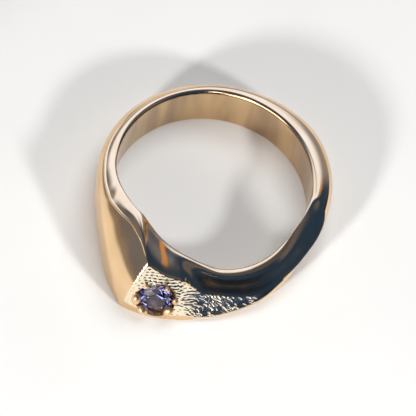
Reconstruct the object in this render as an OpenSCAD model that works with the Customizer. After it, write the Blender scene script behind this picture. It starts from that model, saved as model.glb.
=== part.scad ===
// A gold ring with a folded, asymmetrical head and one round tanzanite.
// The ring lies on its side. The axis of the finger hole is Z, and the origin is the middle of the hole.
// Angles are measured round Z from +X: 90 is the back of the band, and about 250 is the top of the fold.
// The body is swept round the hole. Two tables give its cross-sections, one row each: the outer side of the
// band up to the fold, and the slope that leaves the fold and runs round the front to the right.

/* [Finger hole] */
// Radius of the finger hole at its narrowest
bore_r = 8.55; // [7.5:0.05:10]
// Height of the rounded mouth at each end of the hole
mouth_h = 0.9; // [0.6:0.05:0.9]

/* [Band and head] */
// Multiplies how far every section reaches out from the hole
reach_k = 1; // [0.95:0.01:1.15]
// Height of the flat underside, measured from the middle of the hole
underside_z = -2.2; // [-2.6:0.05:-2.1]

/* [Chiselled face] */
// Depth of the chiselled strokes on the face
stroke_depth = 0.12; // [0:0.01:0.15]
// Distance from one stroke to the next
stroke_pitch = 0.95; // [0.8:0.05:1.6]
// Slope of the strokes down the face, in degrees
stroke_slope = 52; // [30:1:70]

/* [Stone] */
// Diameter of the stone at its girdle
stone_d = 3; // [2.6:0.05:3.1]
// Width of the table as a share of the diameter
table_share = 0.56; // [0.5:0.01:0.64]
// Height of the crown as a share of the diameter
crown_share = 0.15; // [0.12:0.01:0.17]
// Depth of the pavilion as a share of the diameter
pavilion_share = 0.42; // [0.38:0.01:0.44]

/* [Setting] */
// Angle of the setting round the ring
setting_deg = 258.7; // [257:0.1:260]
// Distance of the setting's mouth beyond the wall of the finger hole
setting_out = 4.15; // [4:0.05:4.3]
// Height of the setting's centre
setting_z = 0.15; // [0:0.05:0.3]
// Direction that the stone faces, round the ring
setting_turn = 274; // [268:1:278]
// How far the stone looks up from level
setting_tilt = 13; // [8:1:18]
// Depth of the girdle below the mouth of the recess
girdle_depth = 0.55; // [0.5:0.01:0.6]
// Number of beads that hold the stone
bead_count = 6; // [3:1:6]
// Radius of one bead
bead_r = 0.3; // [0.22:0.01:0.32]

/* [Hidden] */

// Columns of both tables. A point of a section is an angle, a distance out from the hole and a height, and a
// lean is the downward slope of the surface there.
RIM_DEG = 0; RIM_OUT = 1; RIM_Z = 2; RIM_LEAN = 3;
RIDGE_DEG = 4; RIDGE_OUT = 5; RIDGE_Z = 6; LEAN_IN = 7; LEAN_OUT = 8;
BELLY_DEG = 9; BELLY_OUT = 10; BELLY_Z = 11; BELLY_LEAN = 12;
FOOT_DEG = 13; FOOT_OUT = 14;
STEPS = 15;

// The band and the left arm, from the right hand crease round the back to the fold
band_rows = [
    // rim                   | ridge                         | belly                  | foot        | steps
    [  9, 0.40, 2.25,   5,     3.0, 1.25,  1.55, 42, 50,     8.0, 1.85,  0.00, 90,     8.0, 1.25,   4],
    [ 28, 0.45, 2.30,   5,    28.0, 1.45,  1.80, 38, 46,    28.0, 2.25,  0.00, 90,    28.0, 1.45,   4],
    [ 45, 0.45, 2.30,   4,    45.0, 1.40,  1.88, 34, 44,    45.0, 2.45,  0.00, 90,    45.0, 1.55,   5],
    [ 65, 0.40, 2.30,   3,    65.0, 1.08,  2.00, 30, 42,    65.0, 2.30,  0.00, 90,    65.0, 1.50,   5],
    [ 90, 0.30, 2.30,   2,    90.0, 0.82,  2.10, 28, 42,    90.0, 1.88,  0.00, 90,    90.0, 1.30,   6],
    [120, 0.20, 2.30,   3,   120.0, 0.80,  2.02, 32, 44,   120.0, 1.75,  0.00, 90,   120.0, 1.20,   6],
    [150, 0.15, 2.30,   6,   150.0, 0.88,  1.92, 36, 48,   150.0, 1.70,  0.00, 90,   150.0, 1.20,   5],
    [172, 0.13, 2.33,  12,   174.0, 0.98,  1.86, 42, 52,   173.0, 1.58,  0.00, 90,   173.0, 1.20,   4],
    [188, 0.10, 2.62,  14,   192.0, 0.95,  2.26, 44, 54,   190.0, 1.58,  0.00, 90,   190.0, 1.22,   4],
    [202, 0.10, 3.33,   2,   208.0, 1.12,  2.98, 44, 55,   205.0, 1.83, -0.30, 90,   205.0, 1.50,   4],
    [211, 0.10, 3.85, -12,   216.1, 1.28,  3.46, 44, 53,   215.0, 2.20, -0.60, 90,   215.0, 1.95,   4],
    [218, 0.10, 4.12, -20,   224.5, 1.24,  3.82, 42, 50,   224.0, 2.75, -0.80, 90,   223.0, 2.50,   4],
    [224, 0.10, 4.28, -26,   233.8, 1.22,  4.08, 40, 48,   232.5, 3.50, -0.90, 90,   231.5, 3.30,   4],
    [230, 0.10, 4.42, -18,   243.5, 1.95,  4.15, 30, 46,   241.0, 4.30, -0.90, 90,   239.5, 4.10,   4],
    [233, 0.10, 4.40,   0,   251.2, 3.18,  3.70, 18, 47,   248.0, 4.98, -0.80, 90,   246.5, 4.80,   0],
];

// The slope and the chiselled face below it, from the fold round the front to the right hand crease
slope_rows = [
    // rim                   | ridge                         | belly                  | foot        | steps
    [233, 0.10, 4.40,   0,   251.2, 3.18,  3.70, 18, 47,   248.0, 4.98, -0.80, 90,   246.5, 4.80,   8],
    [239, 0.05, 3.80,   0,   254.4, 3.02,  3.20, 20, 63,   251.0, 4.86, -1.00, 84,   250.3, 4.70,   9],
    [247, 0.05, 3.05,   0,   260.0, 2.76,  2.50, 18, 61,   258.0, 4.50, -1.20, 82,   258.0, 4.36,  10],
    [257, 0.05, 2.50,   6,   267.0, 2.30,  1.80, 22, 57,   266.0, 3.98, -1.40, 76,   266.5, 3.86,   7],
    [266, 0.05, 2.10,  14,   271.5, 2.02,  0.85, 34, 51,   272.5, 3.52, -1.55, 68,   272.5, 3.50,   8],
    [275, 0.05, 1.65,  20,   278.0, 1.85,  0.00, 43, 46,   279.0, 3.25, -1.60, 60,   279.0, 3.10,  10],
    [287, 0.05, 1.15,  24,   290.0, 1.95, -0.30, 41, 45,   290.0, 2.92, -1.40, 62,   290.0, 2.50,  10],
    [303, 0.05, 1.10,  26,   304.0, 2.20, -0.40, 40, 48,   304.5, 2.60, -0.85, 75,   304.0, 1.90,   7],
    [319, 0.05, 1.60,  28,   316.0, 2.07,  0.10, 40, 75,   317.0, 2.19, -0.50, 90,   318.0, 1.50,   6],
    [337, 0.05, 2.30,  32,   334.0, 1.70,  0.60, 43, 78,   335.5, 1.77,  0.00, 90,   336.0, 1.25,   5],
    [352, 0.05, 2.40,  32,   348.0, 1.72,  0.92, 44, 75,   350.5, 1.76,  0.30, 90,   351.0, 1.20,   4],
    [362, 0.10, 2.33,  26,   357.0, 1.66,  1.12, 44, 66,   359.5, 1.76,  0.30, 90,   360.0, 1.20,   4],
    [369, 0.40, 2.25,   5,   363.0, 1.25,  1.55, 42, 50,   368.0, 1.85,  0.00, 90,   368.0, 1.25,   0],
];

// Points on each stretch of a section
mouth_points = 3;
top_points = 7;
flank_points = 10;
lower_points = 4;
// Length of a curve's handles as a share of the distance between its ends
handle_k = 0.38;
flank_handle_k = 0.5;
mouth_handle_k = 0.45;
// A section's lines across the top bend towards the front by this power
bend_power = 0.7;
// Downward slope at the foot
foot_lean = 110;
// The lean at the top of the mouth turns in by this much
mouth_turn = 20;
// The swept wall of the hole stands this far inside the true bore, which is cut afterwards
bore_spare = 0.06;
// Distance out from the hole at which the lower mouth meets the underside
heel_out = 0.3;

// The face covers these angles, and the strokes fade in and out over face_fade degrees
face_from = 250;
face_to = 303;
face_fade = 3;
stroke_sway = 0.35;

// Sizes of the setting
stone_r = stone_d / 2;
girdle_h = 0.05;
stone_gap = 0.05;
recess_mouth_r = stone_r + 0.3;
recess_floor_r = stone_r + 0.12;
recess_clear = 2;
bead_ring_r = stone_r + 0.22;
bead_z = -girdle_depth + 0.29;
bead_turn = 32;
stone_facets = 16;
round_fn = 180;
bead_fn = 32;

// A number between two others
function between(a, b, t) = a + (b - a) * t;

// How fast a table changes at row i, for a smooth curve through its rows
function row_pull(rows, i) =
    let (last = len(rows) - 1)
    i == 0 ? 1.5 * (rows[1] - rows[0]) - 0.25 * (rows[2] - rows[0])
    : i == last ? 1.5 * (rows[last] - rows[last - 1]) - 0.25 * (rows[last] - rows[last - 2])
    : (rows[i + 1] - rows[i - 1]) / 2;

// The row at a share t of the way from row i to the next
function row_between(rows, i, t) =
    (2 * pow(t, 3) - 3 * pow(t, 2) + 1) * rows[i]
    + (pow(t, 3) - 2 * pow(t, 2) + t) * row_pull(rows, i)
    + (3 * pow(t, 2) - 2 * pow(t, 3)) * rows[i + 1]
    + (pow(t, 3) - pow(t, 2)) * row_pull(rows, i + 1);

// All the sections that a table stands for
function fine_rows(rows) = [
    for (i = [0 : len(rows) - 2])
        for (s = [0 : rows[i][STEPS] - 1])
            row_between(rows, i, s / rows[i][STEPS])
];

// A unit step that goes out and down at the slope lean
function heading(lean) = [cos(lean), -sin(lean)];

// A curve from p to q that leaves at one slope and arrives at another
function curve(p, lean_p, q, lean_q, k, t) =
    let (
        handle = norm(q - p) * k,
        p_out = p + heading(lean_p) * handle,
        q_in = q - heading(lean_q) * handle
    )
    pow(1 - t, 3) * p + 3 * t * pow(1 - t, 2) * p_out + 3 * t * t * (1 - t) * q_in + pow(t, 3) * q;

// A section point as a place in space
function place(deg, p) = [p[0] * cos(deg), p[0] * sin(deg), p[1]];

// Radius of a distance out from the hole
function radius(out) = bore_r + out * reach_k;

// A value from 0 to 1 that rises over face_fade degrees inside the face
function face_share(deg) =
    max(0, min(1, (deg - face_from) / face_fade, (face_to - deg) / face_fade));

// Height of the chiselled strokes at an angle, a radius and a height, t of the way down the flank
function stroke(deg, p, t) =
    let (
        along = deg * PI / 180 * p[0],
        across = along * sin(stroke_slope) + p[1] * cos(stroke_slope),
        sway = stroke_sway * sin(70 * (along * cos(stroke_slope) - p[1] * sin(stroke_slope))),
        fade = face_share(deg) * sin(180 * t)
    )
    stroke_depth * fade * cos(360 * (across + sway) / stroke_pitch);

// One section: up the mouth of the hole, over the top to the ridge, down the flank and in under the foot
function section(row) =
    let (
        waist = [bore_r - bore_spare, row[RIM_Z] - mouth_h],
        rim = [radius(row[RIM_OUT]), row[RIM_Z]],
        ridge = [radius(row[RIDGE_OUT]), row[RIDGE_Z]],
        belly = [radius(row[BELLY_OUT]), row[BELLY_Z]],
        foot = [radius(row[FOOT_OUT]), underside_z]
    )
    concat(
        [for (k = [0 : mouth_points - 1])
            place(row[RIM_DEG],
                  curve(waist, -90, rim, row[RIM_LEAN] - mouth_turn, mouth_handle_k, k / mouth_points))],
        [for (k = [0 : top_points - 1])
            let (t = k / top_points)
            place(between(row[RIM_DEG], row[RIDGE_DEG], pow(t, bend_power)),
                  curve(rim, row[RIM_LEAN], ridge, row[LEAN_IN], handle_k, t))],
        [for (k = [0 : flank_points - 1])
            let (
                t = k / flank_points,
                deg = between(row[RIDGE_DEG], row[BELLY_DEG], t),
                p = curve(ridge, row[LEAN_OUT], belly, row[BELLY_LEAN], flank_handle_k, t)
            )
            place(deg, p + [stroke(deg, p, t), 0])],
        [for (k = [0 : lower_points])
            let (t = k / lower_points)
            place(between(row[BELLY_DEG], row[FOOT_DEG], t),
                  curve(belly, row[BELLY_LEAN], foot, foot_lean, handle_k, t))],
        [place(row[RIM_DEG], [bore_r + heel_out, underside_z])],
        [place(row[RIM_DEG], [bore_r - bore_spare, underside_z + mouth_h])]
    );

// The swept solid, closed round the hole
module swept_body() {
    rows = concat(fine_rows(band_rows), fine_rows(slope_rows));
    points = [for (row = rows) section(row)];
    stations = len(points);
    round = len(points[0]);
    polyhedron(
        points = [for (ring = points) for (p = ring) p],
        faces = [
            for (i = [0 : stations - 1])
                for (j = [0 : round - 1])
                    let (
                        next_i = (i + 1) % stations,
                        next_j = (j + 1) % round,
                        a = i * round + j,
                        b = i * round + next_j,
                        c = next_i * round + next_j,
                        d = next_i * round + j
                    )
                    each [[a, c, b], [a, d, c]]
        ],
        convexity = 8
    );
}

// Puts its children in the setting: the middle of the recess's mouth is their origin, and +Z looks out of it
module in_setting() {
    translate(place(setting_deg, [radius(setting_out), setting_z]))
        rotate([0, 90 - setting_tilt, setting_turn])
            children();
}

// What is cut away for the stone: a round recess, and a cone below it for the pavilion
module stone_seat() {
    floor_z = -girdle_depth - girdle_h / 2 - stone_gap;
    cone_depth = stone_d * pavilion_share + stone_gap;
    translate([0, 0, floor_z])
        cylinder(r1 = recess_floor_r, r2 = recess_mouth_r, h = -floor_z, $fn = round_fn);
    cylinder(r = recess_mouth_r, h = recess_clear, $fn = round_fn);
    translate([0, 0, floor_z - cone_depth])
        cylinder(r1 = stone_gap, r2 = stone_r + stone_gap, h = cone_depth + stone_gap / 2, $fn = round_fn);
}

// Beads raised from the wall of the recess, over the edge of the stone
module beads() {
    for (k = [0 : bead_count - 1])
        rotate([0, 0, bead_turn + 360 * k / bead_count])
            translate([bead_ring_r, 0, bead_z])
                sphere(r = bead_r, $fn = bead_fn);
}

module ring_body() {
    color("goldenrod") {
        difference() {
            swept_body();
            translate([0, 0, underside_z - 1])
                cylinder(r = bore_r, h = 10, $fn = round_fn);
            in_setting() stone_seat();
        }
        in_setting() beads();
    }
}

// A round brilliant: a table, stars, kites and girdle facets above, and mains and girdle facets below.
// Each kite and each main is flat, so the height of the points between two of them follows from their radius.
module tanzanite() {
    step = 360 / stone_facets;
    table_r = stone_r * table_share;
    crown_h = stone_d * crown_share;
    pavilion_h = stone_d * pavilion_share;
    star_r = between(table_r, stone_r, 0.45);
    star_h = crown_h * (stone_r - star_r * cos(step)) / (stone_r - table_r);
    lower_r = stone_r * 0.3;
    lower_h = pavilion_h * (1 - lower_r * cos(step) / stone_r);
    half = stone_facets / 2;
    spokes = function (r, z, count, turn) [
        for (k = [0 : count - 1])
            [r * cos(turn + 360 * k / count), r * sin(turn + 360 * k / count), z]
    ];
    table_0 = 0;
    star_0 = half;
    upper_0 = 2 * half;
    under_0 = 4 * half;
    lower_0 = 6 * half;
    culet = 7 * half;
    points = concat(
        spokes(table_r, crown_h + girdle_h / 2, half, 0),
        spokes(star_r, star_h + girdle_h / 2, half, step),
        spokes(stone_r, girdle_h / 2, stone_facets, 0),
        spokes(stone_r, -girdle_h / 2, stone_facets, 0),
        spokes(lower_r, -lower_h - girdle_h / 2, half, step),
        [[0, 0, -pavilion_h - girdle_h / 2]]
    );
    faces = concat(
        [[for (k = [half - 1 : -1 : 0]) table_0 + k]],
        [for (k = [0 : half - 1])
            let (
                n = (k + 1) % half,
                before = (k + half - 1) % half,
                main = 2 * k,
                mid = 2 * k + 1,
                next = 2 * n
            )
            each [
                [table_0 + k, table_0 + n, star_0 + k],
                [table_0 + k, star_0 + k, upper_0 + main, star_0 + before],
                [star_0 + k, upper_0 + mid, upper_0 + main],
                [star_0 + k, upper_0 + next, upper_0 + mid],
                [upper_0 + main, upper_0 + mid, under_0 + mid, under_0 + main],
                [upper_0 + mid, upper_0 + next, under_0 + next, under_0 + mid],
                [lower_0 + k, under_0 + main, under_0 + mid],
                [lower_0 + k, under_0 + mid, under_0 + next],
                [culet, lower_0 + before, under_0 + main, lower_0 + k]
            ]]
    );
    color("slateblue")
        in_setting()
            translate([0, 0, -girdle_depth])
                polyhedron(points = points, faces = faces, convexity = 2);
}

ring_body();
tanzanite();
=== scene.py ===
"""Looks of a gold ring that lies on its side.

It has a rounded band, a folded head, a chiselled face and one round tanzanite.
"""

import math

import bpy
import numpy as np
from mathutils import Matrix, Vector


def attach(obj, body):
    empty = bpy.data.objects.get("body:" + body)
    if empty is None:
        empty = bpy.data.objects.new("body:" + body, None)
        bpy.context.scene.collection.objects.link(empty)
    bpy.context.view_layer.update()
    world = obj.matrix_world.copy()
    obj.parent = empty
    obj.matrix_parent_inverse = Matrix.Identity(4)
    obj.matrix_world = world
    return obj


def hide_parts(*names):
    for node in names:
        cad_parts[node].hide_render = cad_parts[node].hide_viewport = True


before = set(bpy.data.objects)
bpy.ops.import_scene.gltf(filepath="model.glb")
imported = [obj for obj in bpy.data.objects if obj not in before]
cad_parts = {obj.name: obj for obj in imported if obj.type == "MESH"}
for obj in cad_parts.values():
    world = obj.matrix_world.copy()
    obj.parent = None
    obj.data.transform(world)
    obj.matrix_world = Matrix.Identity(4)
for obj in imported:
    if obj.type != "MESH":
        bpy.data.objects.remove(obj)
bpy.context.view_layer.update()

# Lengths in this file are in millimetres until a mesh is made, and angles are in degrees.
MM = 0.001

# Finger hole, mouth and underside
BORE_R = 8.55
MOUTH_H = 0.9
UNDERSIDE_Z = -2.2
HEEL_OUT = 0.3

# Columns of both tables. A point of a section is an angle, a distance out from the hole and a height,
# and a lean is the downward slope of the surface there.
COLUMNS = (
    "rim_deg", "rim_out", "rim_z", "rim_lean",
    "ridge_deg", "ridge_out", "ridge_z", "lean_in", "lean_out",
    "belly_deg", "belly_out", "belly_z", "belly_lean",
    "foot_deg", "foot_out",
)

# The band and the left arm, from the right hand crease round the back to the fold
BAND_ROWS = np.array([
    [3, 0.30, 2.27, 5, -2.5, 1.44, 1.46, 42, 54, 2.5, 1.80, 0.2, 90, 2.5, 1.25],
    [28, 0.30, 2.30, 5, 28.0, 1.74, 1.62, 42, 54, 28.0, 2.25, 0.4, 90, 28.0, 1.45],
    [45, 0.30, 2.30, 4, 45.0, 1.84, 1.64, 40, 52, 45.0, 2.45, 0.4, 90, 45.0, 1.55],
    [65, 0.28, 2.30, 3, 65.0, 1.50, 1.78, 38, 50, 65.0, 2.30, 0.2, 90, 65.0, 1.50],
    [90, 0.32, 2.30, 2, 90.0, 0.97, 2.05, 32, 44, 90.0, 1.88, 0.0, 90, 90.0, 1.30],
    [120, 0.30, 2.30, 3, 120.0, 0.84, 2.02, 32, 38, 120.0, 1.75, 0.0, 90, 120.0, 1.20],
    [150, 0.27, 2.30, 3, 150.0, 0.90, 1.92, 36, 38, 150.0, 1.70, 0.0, 90, 150.0, 1.20],
    [172, 0.23, 2.33, 4, 174.0, 0.98, 1.86, 40, 38, 173.0, 1.58, 0.0, 90, 173.0, 1.20],
    [188, 0.17, 2.62, 0, 192.0, 0.95, 2.26, 38, 38, 190.0, 1.58, 0.0, 90, 190.0, 1.22],
    [202, 0.12, 3.33, -8, 208.0, 1.12, 2.98, 36, 40, 205.0, 1.83, -0.3, 90, 205.0, 1.50],
    [211, 0.10, 3.85, -16, 216.1, 1.28, 3.46, 36, 44, 215.0, 2.20, -0.6, 90, 215.0, 1.95],
    [218, 0.10, 4.12, -16, 224.5, 1.24, 3.82, 38, 50, 224.0, 2.75, -0.8, 90, 223.0, 2.50],
    [224, 0.10, 4.28, -26, 233.8, 1.22, 4.08, 40, 48, 232.5, 3.50, -0.9, 90, 231.5, 3.30],
    [230, 0.10, 4.42, -18, 243.5, 1.95, 4.15, 30, 46, 241.0, 4.30, -0.9, 90, 239.5, 4.10],
    [233, 0.10, 4.40, 0, 251.2, 3.18, 3.70, 18, 47, 248.0, 4.98, -0.8, 90, 246.5, 4.80],
])

# The slope and the chiselled face below it, from the fold round the front to the right hand crease
SLOPE_ROWS = np.array([
    [233, 0.10, 4.40, 0, 251.2, 3.18, 3.70, 18, 47, 248.0, 4.98, -0.8, 90, 246.5, 4.80],
    [239, 0.05, 3.82, 14, 254.4, 3.02, 3.20, 20, 63, 251.0, 4.86, -1.0, 84, 250.3, 4.70],
    [247, 0.05, 3.10, 15, 260.0, 2.76, 2.50, 18, 61, 258.0, 4.50, -1.2, 82, 258.0, 4.36],
    [257, 0.05, 2.50, 14, 267.0, 2.30, 1.80, 22, 57, 266.0, 3.98, -1.4, 76, 266.5, 3.86],
    [266, 0.05, 2.08, 6, 271.5, 2.02, 0.85, 34, 54, 272.5, 3.52, -1.55, 61, 272.5, 3.50],
    [275, 0.15, 1.66, 0, 278.0, 1.85, 0.00, 43, 48, 279.0, 3.34, -1.68, 54, 279.0, 2.85],
    [287, 0.40, 1.22, -6, 290.0, 1.95, -0.30, 44, 46, 290.0, 2.95, -1.45, 56, 290.0, 2.10],
    [303, 0.40, 1.20, -10, 304.0, 2.20, -0.40, 42, 46, 304.5, 2.58, -0.84, 53, 304.0, 1.60],
    [319, 0.25, 1.62, -6, 316.0, 2.07, 0.10, 40, 52, 317.0, 2.14, 0.0, 66, 318.0, 1.40],
    [335, 0.05, 2.25, 26, 332.0, 1.78, 0.58, 43, 98, 333.5, 1.58, 0.0, 108, 334.0, 1.15],
    [348, 0.05, 2.38, 32, 344.5, 1.74, 0.88, 44, 94, 346.5, 1.64, 0.3, 102, 347.0, 1.15],
    [357, 0.10, 2.35, 26, 352.5, 1.68, 1.08, 44, 82, 355.0, 1.72, 0.3, 95, 355.5, 1.15],
    [363, 0.30, 2.27, 5, 357.5, 1.44, 1.46, 42, 54, 362.5, 1.80, 0.2, 90, 362.5, 1.25],
])

# Points on each stretch of a section, in the order that a section takes them
STRETCHES = {"mouth": 10, "top": 34, "flank": 80, "lower": 12, "underside": 3, "toe": 8, "wall": 4}
# Place of the seam between top and flank among the points of a section, and the places of the flank
SEAM = STRETCHES["mouth"] + STRETCHES["top"]
FLANK = slice(SEAM, SEAM + STRETCHES["flank"])
# Distance between two sections from each rim angle on: the band, the left arm, the fold with the chiselled
# face, and the right end of the slope
SECTION_STEPS = ((0, 0.25), (165, 0.12), (232, 0.05), (303, 0.2))
# Fewest sections between two rows of a table
FEWEST_SECTIONS = 4

# Distance of a curve's inner control points from its ends, as a share of the distance between the ends
HANDLE = 0.38
# The same for the flank at some ridge angles, for the mouth of the hole, and for the stretch above the foot
FLANK_HANDLES = np.array([[3, 0.36], [216, 0.36], [251, 0.5], [304, 0.5], [363, 0.36]])
MOUTH_HANDLE = 0.45
LOWER_HANDLE = 0.25
# Turn of a section over the edge of the hole, at some rim angles
MOUTH_TURNS = np.array([[3, 20], [262, 20], [278, 2], [296, 2], [318, 20], [363, 20]])
# Power of the share of the top passed, for how far a section has turned towards its ridge angle
BEND_POWER = 0.7
# Lean of a section where it meets the underside, at some ridge angles
FOOT_LEANS = np.array([[3, 110], [266, 110], [279, 135], [290, 155], [304, 145], [318, 120], [363, 110]])
# How often each point moves half way to the middle of its neighbours, which rounds the creases
ROUNDING = 2

# The fine raised line along the ridge of the left arm, and the angles between which it fades in and out
LINE_H = 0.045
LINE_W = 0.075
LINE_FADE = (150, 182, 247, 250.5)
# Points on either side of the seam that the line may lift
LINE_POINTS = 12

# The setting: the middle of the recess's mouth, the way that it looks out, and the recess below it
SETTING_DEG = 258.7
SETTING_OUT = 4.15
SETTING_Z = 0.15
SETTING_TURN = 274
SETTING_TILT = 13
RECESS_R = 1.8
# Waves round the recess's mouth: how many, their height as a share of its radius, and their phase
MOUTH_WAVES = ((3, 0.02, 1.0), (7, 0.015, 0.0))
# Steps up the recess: share of the mouth's radius on the plain face, radius and depth after it is cut
RECESS_STEPS = np.array([
    [0.00, 0.02, 2.10],
    [0.66, 1.36, 0.85],
    [0.76, 1.64, 0.72],
    [0.82, 1.68, 0.60],
    [0.95, 1.77, 0.14],
    [1.00, 1.80, 0.00],
])
# Metal farther than this in front of the mouth or behind it is not part of the recess
RECESS_REACH = 1.5

# Beads that hold the stone: angle round the setting from the lower side towards the right, distance from its
# middle, height above its mouth, radius, and how far they are drawn out along the mouth
BEAD_COLUMNS = ("turn", "out", "height", "radius", "stretch")
BEADS = np.array([
    [56, 1.52, 0.03, 0.38, 1.35],
    [100, 1.72, -0.16, 0.28, 1.2],
    [152, 1.80, -0.14, 0.20, 1.3],
    [212, 1.80, -0.14, 0.20, 1.3],
    [270, 1.62, 0.03, 0.42, 1.5],
    [322, 1.52, 0.03, 0.40, 1.35],
])
# Rings of points on a bead, steps round a ring, and the height of the waves on it as a share of its radius
BEAD_RINGS = 14
BEAD_STEPS = 24
BEAD_WAVE = 0.05
# The shading breaks where two faces meet at more than this angle
SHARP_FROM = 50

# The chiselled face, on the plane of the setting: how far to the right and down from the middle of the
# recess. The table gives its lower edge, and the places between which its right end fades out come next.
FACE_FOOT = np.array([
    [-3.4, 2.0], [-2.0, 2.05], [0.0, 2.2], [2.0, 2.45], [4.5, 2.6], [6.5, 2.3], [8.3, 1.7], [9.2, 1.2],
])
FACE_END = (8.6, 9.2)
# Width over which the chiselling fades at its upper and lower edge. As shares of it, the fade starts this
# far below the upper edge and ends this far below the lower one.
EDGE_SOFT = 0.15
EDGE_START = 0.2
EDGE_END = 0.5
# Seed of all random draws on the face
CHISEL_SEED = 7
# Gouges: how many, how far to the right they start and end, and a power that, above 1, crowds them near the
# stone
GOUGES = 210
GOUGE_FROM = 1.7
GOUGE_TO = 8.7
GOUGE_CROWD = 1.45
# Their sizes, as the least and the most
GOUGE_LENGTH = (0.2, 0.42)
GOUGE_WIDTH = (0.055, 0.09)
GOUGE_DEPTH = (0.03, 0.05)
# Downward slope of the gouges near the stone's top edge, and lower down or further to the right
GOUGE_SLOPES = (15, 33)
# Run to the right over which the second slope takes over, and the random part of a slope
GOUGE_RUN = 6
GOUGE_TURN = 8
# Profile across a gouge: how strongly its lips rise and how far they spread
GOUGE_LIP = 0.9
GOUGE_SPREAD = 1.4
# Fine rows on the left: distance, depth and downward slope, and the number of random shifts in use
ROW_PITCH = 0.29
ROW_DEPTH = 0.04
ROW_SLOPE = 5
ROW_SHIFTS = 64
# Length of a dash, how sharply it starts and ends, and the depth of a row between dashes as a share
DASH = 0.48
DASH_EDGE = 1.4
ROW_REST = 0.35
# Where the rows end on the right, and how far to the left of it they start to fade
ROWS_END = 2.2
ROWS_FADE = 0.8


def smooth_rows(rows):
    """All the sections that a table stands for, one row each.

    Between two rows each column is a cubic that leaves and arrives at half the difference of the rows on
    either side, and an end row takes what is left of 1.5 times the difference to its neighbour.
    """
    pull = np.empty_like(rows)
    pull[1:-1] = (rows[2:] - rows[:-2]) / 2
    pull[0] = 1.5 * (rows[1] - rows[0]) - 0.5 * pull[1]
    pull[-1] = 1.5 * (rows[-1] - rows[-2]) - 0.5 * pull[-2]
    found = []
    for i in range(len(rows) - 1):
        middle = (rows[i, 0] + rows[i + 1, 0]) / 2
        step = [size for start, size in SECTION_STEPS if start < middle][-1]
        length = np.radians(rows[i + 1, 4] - rows[i, 4]) * (BORE_R + rows[i, 5])
        count = max(FEWEST_SECTIONS, round(abs(length) / step))
        t = np.linspace(0, 1, count, endpoint=False)[:, None]
        found.append(
            (2 * t**3 - 3 * t**2 + 1) * rows[i] + (t**3 - 2 * t**2 + t) * pull[i]
            + (3 * t**2 - 2 * t**3) * rows[i + 1] + (t**3 - t**2) * pull[i + 1]
        )
    return np.vstack(found)


def curve(p, lean_p, q, lean_q, handle, t):
    """Cubic curves from the points p to the points q, a row each, that leave and arrive at the given leans.

    The two inner control points lie a share of the distance between the ends away from them, out and down
    at the lean.
    """
    reach = np.linalg.norm(q - p, axis=1, keepdims=True) * handle
    leave = np.radians(lean_p)
    arrive = np.radians(lean_q)
    p_out = p + reach * np.stack([np.cos(leave), -np.sin(leave)], 1)
    q_in = q - reach * np.stack([np.cos(arrive), -np.sin(arrive)], 1)
    t = t[None, :, None]
    return ((1 - t) ** 3 * p[:, None] + 3 * t * (1 - t) ** 2 * p_out[:, None]
            + 3 * t**2 * (1 - t) * q_in[:, None] + t**3 * q[:, None])


def body_grid():
    """Points of the swept body, the ridge angle of each section, and the number of band sections.

    The grid is sections by points round a section. A section goes up the mouth of the hole, over the top to
    the ridge, down the flank, in under the foot, along the flat underside and up the wall of the hole. A
    point's angle round the ring runs from one table angle to the next.
    """
    band, slope = smooth_rows(BAND_ROWS), smooth_rows(SLOPE_ROWS)
    c = dict(zip(COLUMNS, np.vstack([band, slope]).T))
    flat = np.zeros(len(band) + len(slope))
    t = {name: np.arange(count) / count for name, count in STRETCHES.items()}

    def point(out, z):
        return np.stack([BORE_R + out, z + flat], 1)

    def straight(p, q, share):
        return p[:, None] + (q - p)[:, None] * share[None, :, None]

    def turn(a, b, share):
        return c[a][:, None] + (c[b] - c[a])[:, None] * share[None, :]

    waist = point(flat, c["rim_z"] - MOUTH_H)
    rim = point(c["rim_out"], c["rim_z"])
    ridge = point(c["ridge_out"], c["ridge_z"])
    belly = point(c["belly_out"], c["belly_z"])
    foot = point(c["foot_out"], UNDERSIDE_Z)
    heel = point(HEEL_OUT + flat, UNDERSIDE_Z)
    wall = point(flat, UNDERSIDE_Z + MOUTH_H)
    handle = np.interp(c["ridge_deg"], *FLANK_HANDLES.T)[:, None]
    foot_lean = np.interp(c["ridge_deg"], *FOOT_LEANS.T)
    mouth_turn = np.interp(c["rim_deg"], *MOUTH_TURNS.T)
    profile = np.concatenate([
        curve(waist, flat - 90, rim, c["rim_lean"] - mouth_turn, MOUTH_HANDLE, t["mouth"]),
        curve(rim, c["rim_lean"], ridge, c["lean_in"], HANDLE, t["top"]),
        curve(ridge, c["lean_out"], belly, c["belly_lean"], handle, t["flank"]),
        curve(belly, c["belly_lean"], foot, foot_lean, LOWER_HANDLE, t["lower"]),
        straight(foot, heel, t["underside"]),
        curve(heel, flat + 180, wall, flat - 90, HANDLE, t["toe"]),
        straight(wall, waist, t["wall"]),
    ], 1)
    angle = np.radians(np.concatenate([
        turn("rim_deg", "rim_deg", t["mouth"]),
        turn("rim_deg", "ridge_deg", t["top"] ** BEND_POWER),
        turn("ridge_deg", "belly_deg", t["flank"]),
        turn("belly_deg", "foot_deg", t["lower"]),
        turn("foot_deg", "rim_deg", t["underside"]),
        turn("rim_deg", "rim_deg", t["toe"]),
        turn("rim_deg", "rim_deg", t["wall"]),
    ], 1))
    r, z = profile[..., 0], profile[..., 1]
    return np.stack([r * np.cos(angle), r * np.sin(angle), z], -1), c["ridge_deg"], len(band)


def rounded(points):
    """The grid with each point moved half way to the middle of its four neighbours, a few times over.

    The flat underside stays flat, because all of a point's neighbours lie in it.
    """
    for _ in range(ROUNDING):
        middle = sum(np.roll(points, step, axis) for step in (-1, 1) for axis in (0, 1)) / 4
        points = (points + middle) / 2
    return points


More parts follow.
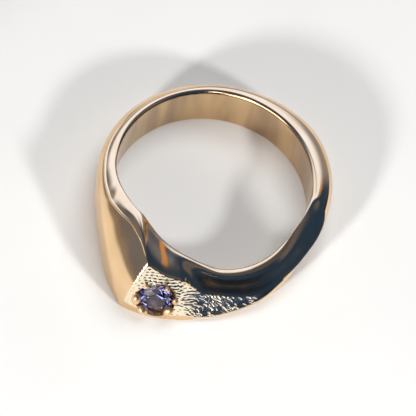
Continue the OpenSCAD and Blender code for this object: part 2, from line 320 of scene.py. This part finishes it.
def outward(points):
    """Unit normals of the grid, from the steps between the neighbours on either side."""
    along = np.roll(points, -1, 0) - np.roll(points, 1, 0)
    over = np.roll(points, -1, 1) - np.roll(points, 1, 1)
    normal = np.cross(over, along)
    return normal / np.linalg.norm(normal, axis=-1, keepdims=True)


def fade(x, start, full, hold, end):
    """0 up to start, 1 from full to hold and 0 from end, with straight ramps."""
    return np.clip(np.minimum((x - start) / (full - start), (end - x) / (end - hold)), 0, 1)


def raised_line(points, ridge_deg):
    """A fine raised line along the ridge of the left arm: a rounded bar on the seam of top and flank."""
    away = np.linalg.norm(points - points[:, SEAM:SEAM + 1], axis=-1)
    near = np.abs(np.arange(points.shape[1]) - SEAM) < LINE_POINTS
    height = LINE_H * np.exp(-((away / LINE_W) ** 2)) * near * fade(ridge_deg, *LINE_FADE)[:, None]
    return points + outward(points) * height[..., None]


# Axes of the setting: out of it, down across it and to the right across it
turn, tilt = math.radians(SETTING_TURN), math.radians(SETTING_TILT)
LOOK = np.array([math.cos(tilt) * math.cos(turn), math.cos(tilt) * math.sin(turn), math.sin(tilt)])
DOWN = np.array([math.sin(tilt) * math.cos(turn), math.sin(tilt) * math.sin(turn), -math.cos(tilt)])
RIGHT = np.cross(LOOK, DOWN)
setting_angle = math.radians(SETTING_DEG)
setting_r = BORE_R + SETTING_OUT
MOUTH_CENTRE = np.array([
    setting_r * math.cos(setting_angle), setting_r * math.sin(setting_angle), SETTING_Z,
])


def in_setting(points):
    """How far points lie to the right, down and out, from the middle of the recess's mouth."""
    return tuple((points - MOUTH_CENTRE) @ axis for axis in (RIGHT, DOWN, LOOK))


def from_setting(right, down, out):
    """Places in space of points given in the setting."""
    return MOUTH_CENTRE + right[..., None] * RIGHT + down[..., None] * DOWN + out[..., None] * LOOK


def chisel_marks(right, down, edge, rng):
    """Height of the chisel's marks at places on the face.

    A gouge is a short groove with raised lips: across it the height is that of a hat turned upside down,
    and along it the depth fades to both ends. The fine rows on the left are ripples cut into dashes, and
    each row of dashes is shifted at random. The upper edge of the face is given as places to the right and
    down.
    """
    height = np.zeros_like(right)
    for _ in range(GOUGES):
        at = GOUGE_FROM + (GOUGE_TO - GOUGE_FROM) * rng.uniform(0, 1) ** GOUGE_CROWD
        share = rng.uniform(0, 1)
        level = np.interp(at, *edge) * (1 - share) + np.interp(at, *FACE_FOOT.T) * share
        low = min(1, share + (at - GOUGE_FROM) / GOUGE_RUN)
        slope = math.radians(GOUGE_SLOPES[0] * (1 - low) + GOUGE_SLOPES[1] * low + rng.normal(0, GOUGE_TURN))
        length, width, depth = (rng.uniform(*sizes) for sizes in (GOUGE_LENGTH, GOUGE_WIDTH, GOUGE_DEPTH))
        along = (right - at) * math.cos(slope) + (down - level) * math.sin(slope)
        side = ((down - level) * math.cos(slope) - (right - at) * math.sin(slope)) / width
        taper = np.exp(-((2 * along / length) ** 4))
        height -= depth * taper * (1 - GOUGE_LIP * side**2) * np.exp(-(side**2) / GOUGE_SPREAD)
    slope = math.radians(ROW_SLOPE)
    along = right * math.cos(slope) + down * math.sin(slope)
    side = (down * math.cos(slope) - right * math.sin(slope)) / ROW_PITCH
    row = np.floor(side + 0.5).astype(int)
    shift = rng.uniform(0, 1, ROW_SHIFTS)[row % ROW_SHIFTS]
    dash = np.clip(0.5 + DASH_EDGE * np.cos(2 * np.pi * (along / DASH + shift)), 0, 1)
    left = np.clip((ROWS_END - right) / ROWS_FADE, 0, 1)
    return height - ROW_DEPTH * left * (ROW_REST + dash) * np.cos(np.pi * (side - row)) ** 2


def worked_face(points, band_sections):
    """The body with the chisel's marks on its face, and the share of chiselling at each point.

    The face is the flank of the sections after the band. The marks follow the normals of the plain body.
    """
    right, down, _ = in_setting(points[band_sections:, FLANK])
    edge = right[:, 0], down[:, 0]
    below = np.clip((down - down[:, :1]) / EDGE_SOFT - EDGE_START, 0, 1)
    above = np.clip((np.interp(right, *FACE_FOOT.T) - down) / EDGE_SOFT + EDGE_END, 0, 1)
    worked = below * above * np.clip((FACE_END[1] - right) / (FACE_END[1] - FACE_END[0]), 0, 1)
    height = chisel_marks(right, down, edge, np.random.default_rng(CHISEL_SEED)) * worked
    share = np.zeros(points.shape[:2])
    share[band_sections:, FLANK] = worked
    moved = points.copy()
    moved[band_sections:, FLANK] += outward(points)[band_sections:, FLANK] * height[..., None]
    return moved, share


def cut_recess(points):
    """The body with the recess for the stone, and the share of recess at each point.

    Points within the mouth are moved in to the radius and depth of RECESS_STEPS at their share of the
    mouth's radius, but never out of the metal.
    """
    right, down, out = in_setting(points)
    angle = np.arctan2(right, down)
    reach = np.hypot(right, down)
    mouth = RECESS_R * (1 + sum(size * np.sin(count * angle + phase) for count, size, phase in MOUTH_WAVES))
    share = reach / mouth
    inside = (share < 1) & (np.abs(out) < RECESS_REACH)
    shares, radii, depths = RECESS_STEPS.T
    new_reach = np.where(inside, np.interp(share, shares, radii) * mouth / RECESS_R, reach)
    depth = np.interp(share, shares, depths)
    scale = new_reach / np.maximum(reach, 1e-6)
    moved = from_setting(right * scale, down * scale, np.minimum(out, -depth))
    return np.where(inside[..., None], moved, points), inside * 1.0


def grid_mesh(name, points):
    """A mesh of a grid that closes on itself in both directions, one quad between four neighbours."""
    rows, columns = points.shape[:2]
    index = np.arange(rows * columns).reshape(rows, columns)
    index = np.vstack([index, index[:1]])
    index = np.hstack([index, index[:, :1]])
    quads = np.stack([index[:-1, :-1], index[:-1, 1:], index[1:, 1:], index[1:, :-1]], -1).reshape(-1, 4)
    mesh = bpy.data.meshes.new(name)
    mesh.from_pydata(points.reshape(-1, 3) * MM, [], quads)
    mesh.shade_smooth()
    mesh.update()
    return mesh


def add_attribute(mesh, name, values):
    """A number for each vertex that a material can read."""
    attribute = mesh.attributes.new(name, "FLOAT", "POINT")
    attribute.data.foreach_set("value", np.ascontiguousarray(values, dtype=np.float32).ravel())


def new_piece(name, mesh, material):
    """An object at the origin that holds a mesh with a material."""
    piece = bpy.data.objects.new(name, mesh)
    bpy.context.scene.collection.objects.link(piece)
    mesh.materials.append(material)
    return piece


def bead_grids():
    """Points of the beads, bead by ring by step round the ring: stretched balls at the recess.

    A ball reaches farther along the mouth than across it, and low waves in both its angles make it uneven.
    """
    b = {name: column[:, None, None] for name, column in zip(BEAD_COLUMNS, BEADS.T)}
    polar = np.linspace(0, np.pi, BEAD_RINGS + 2)[None, 1:-1, None]
    around = np.linspace(0, 2 * np.pi, BEAD_STEPS, endpoint=False)[None, None, :]
    turn = np.radians(b["turn"])
    wave = np.sin(3 * around + 5 * turn) * np.sin(polar) ** 2 + np.cos(4 * polar + turn)
    size = b["radius"] * (1 + BEAD_WAVE * wave)
    over = size * np.sin(polar) * np.cos(around)
    along = size * np.sin(polar) * np.sin(around) * b["stretch"]
    out = size * np.cos(polar) + b["height"]
    reach = b["out"] + over
    right = reach * np.sin(turn) + along * np.cos(turn)
    down = reach * np.cos(turn) - along * np.sin(turn)
    return from_setting(right, down, out)


def balls_mesh(name, balls):
    """A mesh of closed balls: quads between neighbours and a flat cap over both ends of each."""
    count, rings, steps = balls.shape[:3]
    index = np.arange(count * rings * steps).reshape(count, rings, steps)
    nearby = np.roll(index, -1, 2)
    quads = np.stack([index[:, :-1], index[:, 1:], nearby[:, 1:], nearby[:, :-1]], -1).reshape(-1, 4)
    caps = np.concatenate([index[:, 0], index[:, -1, ::-1]])
    mesh = bpy.data.meshes.new(name)
    mesh.from_pydata(balls.reshape(-1, 3) * MM, [], [*quads.tolist(), *caps.tolist()])
    mesh.shade_smooth()
    mesh.update()
    return mesh


# Materials
GOLD_LIGHT = (0.88, 0.62, 0.36)
GOLD_DEEP = (0.84, 0.57, 0.31)
# Painted shade on the wall of the hole, and upright streaks of painted reflection on it
GOLD_WALL_SHADE = (0.74, 0.52, 0.29)
GOLD_STREAK_REFLECTION = (0.46, 0.32, 0.20)
# Painted shade and warm reflection in the recess, redder and darker than the polished gold
GOLD_RECESS_SHADE = (0.70, 0.42, 0.17)
# Painted highlight: a paler tint that whitens the glints of the chiselled face
GOLD_CHISELLED_HIGHLIGHT = (0.97, 0.86, 0.66)
STONE_NAVY = (0.10, 0.13, 0.42)
STONE_VIOLET = (0.42, 0.42, 0.80)
PAPER_LIGHT = (0.82, 0.81, 0.79)
PAPER_DEEP = (0.80, 0.79, 0.77)
# Painted shade on the paper far from the ring
PAPER_FAR_SHADE = (0.10, 0.09, 0.10)
# Roughness of the body and of the beads, and what patches, chiselling and the recess add to it
ROUGH_BODY = 0.10
ROUGH_BEADS = 0.34
ROUGH_PATCHES = 0.05
ROUGH_CHISELLED = 0.05
ROUGH_RECESS = 0.2
ROUGH_PAPER = 0.9
# Refraction of tanzanite
STONE_IOR = 1.69
# Distances beyond the hole's radius between which the wall's painted shade gives way to polished metal
HOLE_EDGE = (0.02, 0.12)
# Depth of the fine marks, how much deeper the grain on chiselled metal and in the recess is, and the paper's
MARK_DEPTH = 0.0006
GRAIN_CHISELLED = 12.0
GRAIN_RECESS = 6.0
PAPER_GRAIN_DEPTH = 0.01
# Painted shade: the paper darkens between these distances from its middle
PAPER_SHADE_FADE = (30, 150)
PAPER_CENTRE = (6, -4, UNDERSIDE_Z)
# Noises on the gold, in the stone and on the paper
PATCHES = {"Scale": 400.0, "Detail": 1.0}
MARKS = {"Around": 14.0, "Across": 9000.0, "Detail": 3.0}
FINE_GRAIN = {"Scale": 11000.0, "Detail": 2.0}
# Upright streaks of painted reflection on the wall of the hole
WALL_REFLECTION_STREAKS = {"Around": 4.0, "Across": 90.0, "Detail": 2.0}
DRIFT = {"Scale": 700.0, "Detail": 1.0}
PAPER_PATCHES = {"Scale": 60.0, "Detail": 2.0}
PAPER_GRAIN = {"Scale": 6000.0, "Detail": 3.0}
# Values of a noise between which one colour goes over into the other
PATCHES_FROM_TO = (0.3, 0.7)
WALL_REFLECTION_STREAKS_FROM_TO = (0.34, 0.7)
DRIFT_FROM_TO = (0.35, 0.65)


def add_node(tree, kind, inputs=None, **settings):
    """A shader node with its settings. Each input is a plain value or the output of another node."""
    node = tree.nodes.new(kind)
    for name, value in settings.items():
        setattr(node, name, value)
    for name, value in (inputs or {}).items():
        if isinstance(value, bpy.types.NodeSocket):
            tree.links.new(value, node.inputs[name])
        else:
            node.inputs[name].default_value = value
    return node


def math_node(tree, operation, a, b=0.0):
    """The result of an operation on two values."""
    return add_node(tree, "ShaderNodeMath", {0: a, 1: b}, operation=operation).outputs[0]


def ramp(tree, value, start, end, low=0.0, high=1.0):
    """A smooth step from low to high while the value goes from start to end."""
    inputs = {"Value": value, "From Min": start, "From Max": end, "To Min": low, "To Max": high}
    return add_node(tree, "ShaderNodeMapRange", inputs, interpolation_type="SMOOTHSTEP").outputs["Result"]


def mix(tree, factor, a, b):
    """A colour between two colours."""
    node = add_node(tree, "ShaderNodeMix", data_type="RGBA")
    for name, value in (("Factor", factor), ("A", a), ("B", b)):
        socket = next(s for s in node.inputs if s.name == name and s.enabled)
        if isinstance(value, bpy.types.NodeSocket):
            tree.links.new(value, socket)
        else:
            socket.default_value = (*value, 1)
    return next(s for s in node.outputs if s.enabled)


def new_group(name, inputs):
    """A node group with number inputs, given with their defaults, and one number output, Value."""
    group = bpy.data.node_groups.new(name, "ShaderNodeTree")
    for label, default in inputs.items():
        socket = group.interface.new_socket(label, in_out="INPUT", socket_type="NodeSocketFloat")
        socket.default_value = default
    group.interface.new_socket("Value", in_out="OUTPUT", socket_type="NodeSocketFloat")
    given = group.nodes.new("NodeGroupInput").outputs
    result = group.nodes.new("NodeGroupOutput").inputs["Value"]
    return group, given, result


def ring_noise_group():
    """Noise laid round the ring, with one scale round it and another over the section.

    The noise is read in four dimensions, the two parts of the direction from the axis, the distance from
    the axis and the height, so that it can be drawn out round the ring and has no seam.
    """
    group, given, result = new_group("ring_noise", {"Around": 10.0, "Across": 1000.0, "Detail": 2.0})
    place = add_node(group, "ShaderNodeTexCoord").outputs["Object"]
    split = add_node(group, "ShaderNodeSeparateXYZ", {0: place}).outputs
    flat = add_node(group, "ShaderNodeCombineXYZ", {"X": split["X"], "Y": split["Y"]}).outputs[0]
    distance = add_node(group, "ShaderNodeVectorMath", {0: flat}, operation="LENGTH").outputs["Value"]
    way = add_node(group, "ShaderNodeVectorMath", {0: flat}, operation="NORMALIZE").outputs[0]
    way = add_node(group, "ShaderNodeSeparateXYZ", {0: way}).outputs
    inputs = {
        "X": math_node(group, "MULTIPLY", way["X"], given["Around"]),
        "Y": math_node(group, "MULTIPLY", way["Y"], given["Around"]),
        "Z": math_node(group, "MULTIPLY", distance, given["Across"]),
    }
    vector = add_node(group, "ShaderNodeCombineXYZ", inputs).outputs[0]
    height = math_node(group, "MULTIPLY", split["Z"], given["Across"])
    inputs = {"Vector": vector, "W": height, "Scale": 1.0, "Detail": given["Detail"]}
    noise = add_node(group, "ShaderNodeTexNoise", inputs, noise_dimensions="4D").outputs[0]
    group.links.new(noise, result)
    return group


def grain_group():
    """Even noise in all directions, for grain and for slow patches."""
    group, given, result = new_group("grain", {"Scale": 1000.0, "Detail": 2.0})
    place = add_node(group, "ShaderNodeTexCoord").outputs["Object"]
    inputs = {"Vector": place, "Scale": given["Scale"], "Detail": given["Detail"]}
    noise = add_node(group, "ShaderNodeTexNoise", inputs).outputs[0]
    group.links.new(noise, result)
    return group


RING_NOISE = ring_noise_group()
GRAIN = grain_group()


def group_value(tree, group, inputs):
    """The value that a node group gives in a material for the given inputs."""
    node = add_node(tree, "ShaderNodeGroup", node_tree=group)
    for name, value in inputs.items():
        node.inputs[name].default_value = value
    return node.outputs["Value"]


def new_material(name, **constants):
    """A material with a Principled shader and its constant sockets set."""
    material = bpy.data.materials.new(name)
    material.use_nodes = True
    shader = material.node_tree.nodes["Principled BSDF"]
    for label, value in constants.items():
        shader.inputs[label.replace("_", " ")].default_value = value
    return material, material.node_tree, shader


def attribute(tree, name):
    """A number that each vertex of the piece carries."""
    return add_node(tree, "ShaderNodeAttribute", attribute_name=name).outputs["Fac"]


def gold_material(name, roughness):
    """Polished gold with slow patches and fine marks round the ring.

    It is paler where it is chiselled, a painted highlight, and redder and darker in the recess, painted
    shade and warm reflection, both a little rougher. The wall of the hole is darker, painted shade, with
    soft upright streaks of painted reflection.
    """
    material, tree, shader = new_material(name, Metallic=1.0)
    patches = group_value(tree, GRAIN, PATCHES)
    marks = group_value(tree, RING_NOISE, MARKS)
    fine = group_value(tree, GRAIN, FINE_GRAIN)
    streaks = group_value(tree, RING_NOISE, WALL_REFLECTION_STREAKS)
    chiselled = attribute(tree, "chiselled")
    recess = attribute(tree, "recess")
    place = add_node(tree, "ShaderNodeTexCoord").outputs["Object"]
    flat = add_node(tree, "ShaderNodeVectorMath", {0: place, 1: (1, 1, 0)}, operation="MULTIPLY").outputs[0]
    distance = add_node(tree, "ShaderNodeVectorMath", {0: flat}, operation="LENGTH").outputs["Value"]
    hole = ramp(tree, distance, (BORE_R + HOLE_EDGE[0]) * MM, (BORE_R + HOLE_EDGE[1]) * MM, 1.0, 0.0)
    # Painted shade on the wall of the hole, with upright streaks of painted reflection
    wall = mix(tree, ramp(tree, streaks, *WALL_REFLECTION_STREAKS_FROM_TO), GOLD_WALL_SHADE, GOLD_STREAK_REFLECTION)
    colour = mix(tree, ramp(tree, patches, *PATCHES_FROM_TO), GOLD_LIGHT, GOLD_DEEP)
    colour = mix(tree, hole, colour, wall)
    # Painted highlight: the chiselled face is paler
    colour = mix(tree, chiselled, colour, GOLD_CHISELLED_HIGHLIGHT)
    # Painted shade and warm reflection in the recess
    colour = mix(tree, recess, colour, GOLD_RECESS_SHADE)
    tree.links.new(colour, shader.inputs["Base Color"])
    rough = ramp(tree, patches, *PATCHES_FROM_TO, roughness, roughness + ROUGH_PATCHES)
    rough = math_node(tree, "ADD", rough, math_node(tree, "MULTIPLY", chiselled, ROUGH_CHISELLED))
    rough = math_node(tree, "ADD", rough, math_node(tree, "MULTIPLY", recess, ROUGH_RECESS))
    tree.links.new(rough, shader.inputs["Roughness"])
    worked = math_node(tree, "MULTIPLY", chiselled, GRAIN_CHISELLED)
    worked = math_node(tree, "ADD", worked, math_node(tree, "MULTIPLY", recess, GRAIN_RECESS))
    height = math_node(tree, "ADD", marks, math_node(tree, "MULTIPLY", fine, worked))
    bump = add_node(tree, "ShaderNodeBump", {"Height": height, "Strength": 1.0, "Distance": MARK_DEPTH * MM})
    tree.links.new(bump.outputs[0], shader.inputs["Normal"])
    return material


# The ring and its beads
points, ridge_deg, band_sections = body_grid()
points = raised_line(rounded(points), ridge_deg)
points, chiselled = worked_face(points, band_sections)
points, recess = cut_recess(points)
body_mesh = grid_mesh("ring", points)
body_mesh.set_sharp_from_angle(angle=math.radians(SHARP_FROM))
add_attribute(body_mesh, "chiselled", chiselled)
add_attribute(body_mesh, "recess", recess)
body = new_piece("ring", body_mesh, gold_material("polished_gold", ROUGH_BODY))
beads = new_piece("beads", balls_mesh("beads", bead_grids()), gold_material("bead_gold", ROUGH_BEADS))
for piece in (body, beads):
    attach(piece, "root")
    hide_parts("ring_body")


def stone_material():
    """Blue violet glass whose tint drifts between navy and violet."""
    material, tree, shader = new_material(
        "tanzanite_glass", Transmission_Weight=1.0, IOR=STONE_IOR, Roughness=0.0)
    drift = group_value(tree, GRAIN, DRIFT)
    colour = mix(tree, ramp(tree, drift, *DRIFT_FROM_TO), STONE_NAVY, STONE_VIOLET)
    tree.links.new(colour, shader.inputs["Base Color"])
    return material


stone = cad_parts["tanzanite"]
stone.data.materials.clear()
stone.data.materials.append(stone_material())


def paper_material():
    """White paper with a fine grain and faint slow patches, and painted shade that darkens it far from the
    ring.
    """
    material, tree, shader = new_material("paper", Roughness=ROUGH_PAPER)
    patches = group_value(tree, GRAIN, PAPER_PATCHES)
    grain = group_value(tree, GRAIN, PAPER_GRAIN)
    colour = mix(tree, ramp(tree, patches, *PATCHES_FROM_TO), PAPER_LIGHT, PAPER_DEEP)
    place = add_node(tree, "ShaderNodeTexCoord").outputs["Object"]
    centre = tuple(value * MM for value in PAPER_CENTRE)
    distance = add_node(tree, "ShaderNodeVectorMath", {0: place, 1: centre}, operation="DISTANCE")
    nearness = math_node(tree, "DIVIDE", MM, distance.outputs["Value"])
    # Painted shade that darkens the paper far from the ring
    colour = mix(tree, ramp(tree, nearness, 1 / PAPER_SHADE_FADE[1], 1 / PAPER_SHADE_FADE[0]), PAPER_FAR_SHADE, colour)
    tree.links.new(colour, shader.inputs["Base Color"])
    depth = PAPER_GRAIN_DEPTH * MM
    bump = add_node(tree, "ShaderNodeBump", {"Height": grain, "Strength": 1.0, "Distance": depth})
    tree.links.new(bump.outputs[0], shader.inputs["Normal"])
    return material


# Half the side of the paper
PAPER_HALF = 90
floor_mesh = bpy.data.meshes.new("floor")
corners = ((-1, -1), (1, -1), (1, 1), (-1, 1))
corners = [(x * PAPER_HALF * MM, y * PAPER_HALF * MM, UNDERSIDE_Z * MM) for x, y in corners]
floor_mesh.from_pydata(corners, [], [(0, 1, 2, 3)])
floor = new_piece("floor", floor_mesh, paper_material())

# Camera: it looks down at the middle of the hole from in front
CAM_ELEVATION = 57.2
CAM_ROLL = 13.15
CAM_DISTANCE = 1000 / 3
# Scale and side of the picture in pixels, and the middle of the hole in it, from its top left corner
PIXELS_PER_MM = 11.529
IMAGE_SIDE = 416
ORIGIN_PX = (211.35, 189.5)
SENSOR = 36
# Nearest and farthest that it sees, in metres
CLIP = (0.01, 10)
elevation = math.radians(CAM_ELEVATION)
back = Vector((0, -math.cos(elevation), math.sin(elevation)))
camera_data = bpy.data.cameras.new("camera")
camera = bpy.data.objects.new("camera", camera_data)
bpy.context.scene.collection.objects.link(camera)
camera_data.sensor_width = SENSOR
camera_data.lens = SENSOR * CAM_DISTANCE * PIXELS_PER_MM / IMAGE_SIDE
camera_data.shift_x = (IMAGE_SIDE / 2 - ORIGIN_PX[0]) / IMAGE_SIDE
camera_data.shift_y = (ORIGIN_PX[1] - IMAGE_SIDE / 2) / IMAGE_SIDE
camera.rotation_mode = "QUATERNION"
camera.location = back * CAM_DISTANCE * MM
level = (-back).to_track_quat("-Z", "Y")
camera.rotation_quaternion = level @ Matrix.Rotation(math.radians(CAM_ROLL), 3, "Z").to_quaternion()
camera_data.clip_start, camera_data.clip_end = CLIP
bpy.context.scene.camera = camera

# Surroundings, which show only where the gold and the stone mirror them: a dark blue room, which goes over
# into its ceiling between two heights, and soft panels of light. Heights are angles above the horizon.
ROOM = (0.022, 0.055, 0.14)
CEILING = (0.10, 0.11, 0.15)
CEILING_FADE = (56, 74)
# A panel is its azimuth with the angles away from it where it starts and stops to fade, the heights of its
# lower and upper fades, and its colour. A panel covers the ones above it in the table.
PANELS = (
    # Low and nearly black in front, for the ground between the gouges
    ((294, 12, 36), (-8, -2, 12, 32), (0.009, 0.018, 0.040)),
    # Low and dim behind, for the outer side of the band
    ((90, 42, 54), (-10, -5, 16, 38), (0.30, 0.33, 0.45)),
    # High and dim on the right, for the slope beside the hole
    ((2, 17, 30), (16, 36, 60, 74), (0.14, 0.15, 0.22)),
    # Two dim ones on the left, for the outer side of the left arm
    ((190, 60, 75), (-2, 2, 24, 60), (0.18, 0.20, 0.28)),
    ((200, 40, 60), (-6, -3, -2, 8), (0.32, 0.29, 0.28)),
    # Two wide bright ones behind, for the stripe along the top of the band and the left arm
    ((75, 29, 32), (12, 40, 48, 72), (1.1, 1.35, 2.0)),
    ((120, 36, 54), (-4, 14, 46, 72), (1.1, 1.35, 2.0)),
    # Low and very bright in front, for the chiselled face
    ((246, 22, 36), (2, 8, 30, 44), (3.3, 3.1, 3.2)),
    # Small and warm, for the patch beside the fold
    ((42.5, 2.5, 4.5), (17, 21, 30, 36), (0.62, 0.36, 0.16)),
    # Two small very bright ones in front, for the sparks on the stone and its beads
    ((287, 4, 9), (34, 38, 44, 48), (5.0, 5.0, 5.0)),
    ((252, 4, 9), (34, 38, 44, 48), (5.0, 5.0, 5.0)),
)

world = bpy.data.worlds.new("world")
bpy.context.scene.world = world
world.use_nodes = True
tree = world.node_tree
tree.nodes.clear()
way = add_node(tree, "ShaderNodeTexCoord").outputs["Generated"]
way = add_node(tree, "ShaderNodeSeparateXYZ", {0: way}).outputs
# A little above 1, so that nothing is divided by 0 straight up and straight down
ABOVE_ONE = 1.0001


def toward(azimuth, inside, outside):
    """How much a direction points to an azimuth: 1 up to one angle away from it and 0 from a wider one."""
    a = math.radians(azimuth)
    dot = math_node(tree, "ADD", math_node(tree, "MULTIPLY", way["X"], math.cos(a)),
                    math_node(tree, "MULTIPLY", way["Y"], math.sin(a)))
    level = math_node(tree, "SUBTRACT", ABOVE_ONE, math_node(tree, "MULTIPLY", way["Z"], way["Z"]))
    cosine = math_node(tree, "DIVIDE", dot, math_node(tree, "SQRT", level))
    return ramp(tree, cosine, math.cos(math.radians(outside)), math.cos(math.radians(inside)))


def between(low, low_end, high, high_end):
    """How much a direction lies between two heights above the horizon, with soft limits."""
    sines = [math.sin(math.radians(angle)) for angle in (low, low_end, high, high_end)]
    rise = ramp(tree, way["Z"], sines[0], sines[1])
    return math_node(tree, "MULTIPLY", rise, ramp(tree, way["Z"], sines[2], sines[3], 1.0, 0.0))


ceiling = ramp(tree, way["Z"], *(math.sin(math.radians(height)) for height in CEILING_FADE))
colour = mix(tree, ceiling, ROOM, CEILING)
for sides, heights, light in PANELS:
    colour = mix(tree, math_node(tree, "MULTIPLY", toward(*sides), between(*heights)), colour, light)
background = add_node(tree, "ShaderNodeBackground", {"Color": colour})
add_node(tree, "ShaderNodeOutputWorld", {"Surface": background.outputs[0]})
world.cycles_visibility.diffuse = False


def soft_light(name, azimuth, elevation, distance, size, power):
    """A round lamp that shines on the ring from an azimuth and a height. It is left out of reflections."""
    data = bpy.data.lights.new(name, "AREA")
    data.shape = "DISK"
    data.size = size
    data.energy = power
    light = bpy.data.objects.new(name, data)
    a = math.radians(azimuth)
    el = math.radians(elevation)
    way_to = Vector((math.cos(a) * math.cos(el), math.sin(a) * math.cos(el), math.sin(el)))
    light.location = way_to * distance
    light.rotation_mode = "QUATERNION"
    light.rotation_quaternion = way_to.to_track_quat("Z", "Y")
    light.visible_glossy = False
    bpy.context.scene.collection.objects.link(light)


# Lamps: name, azimuth, height, distance and size in metres, and power in watts
LAMPS = (
    ("right_lamp", -38, 29, 0.3, 0.035, 0.58),
    ("front_lamp", -117, 21.5, 0.3, 0.035, 0.78),
    ("overhead_lamp", 60, 70, 0.4, 0.35, 1.08),
)
for lamp in LAMPS:
    soft_light(*lamp)
bpy.context.scene.view_settings.view_transform = "Standard"
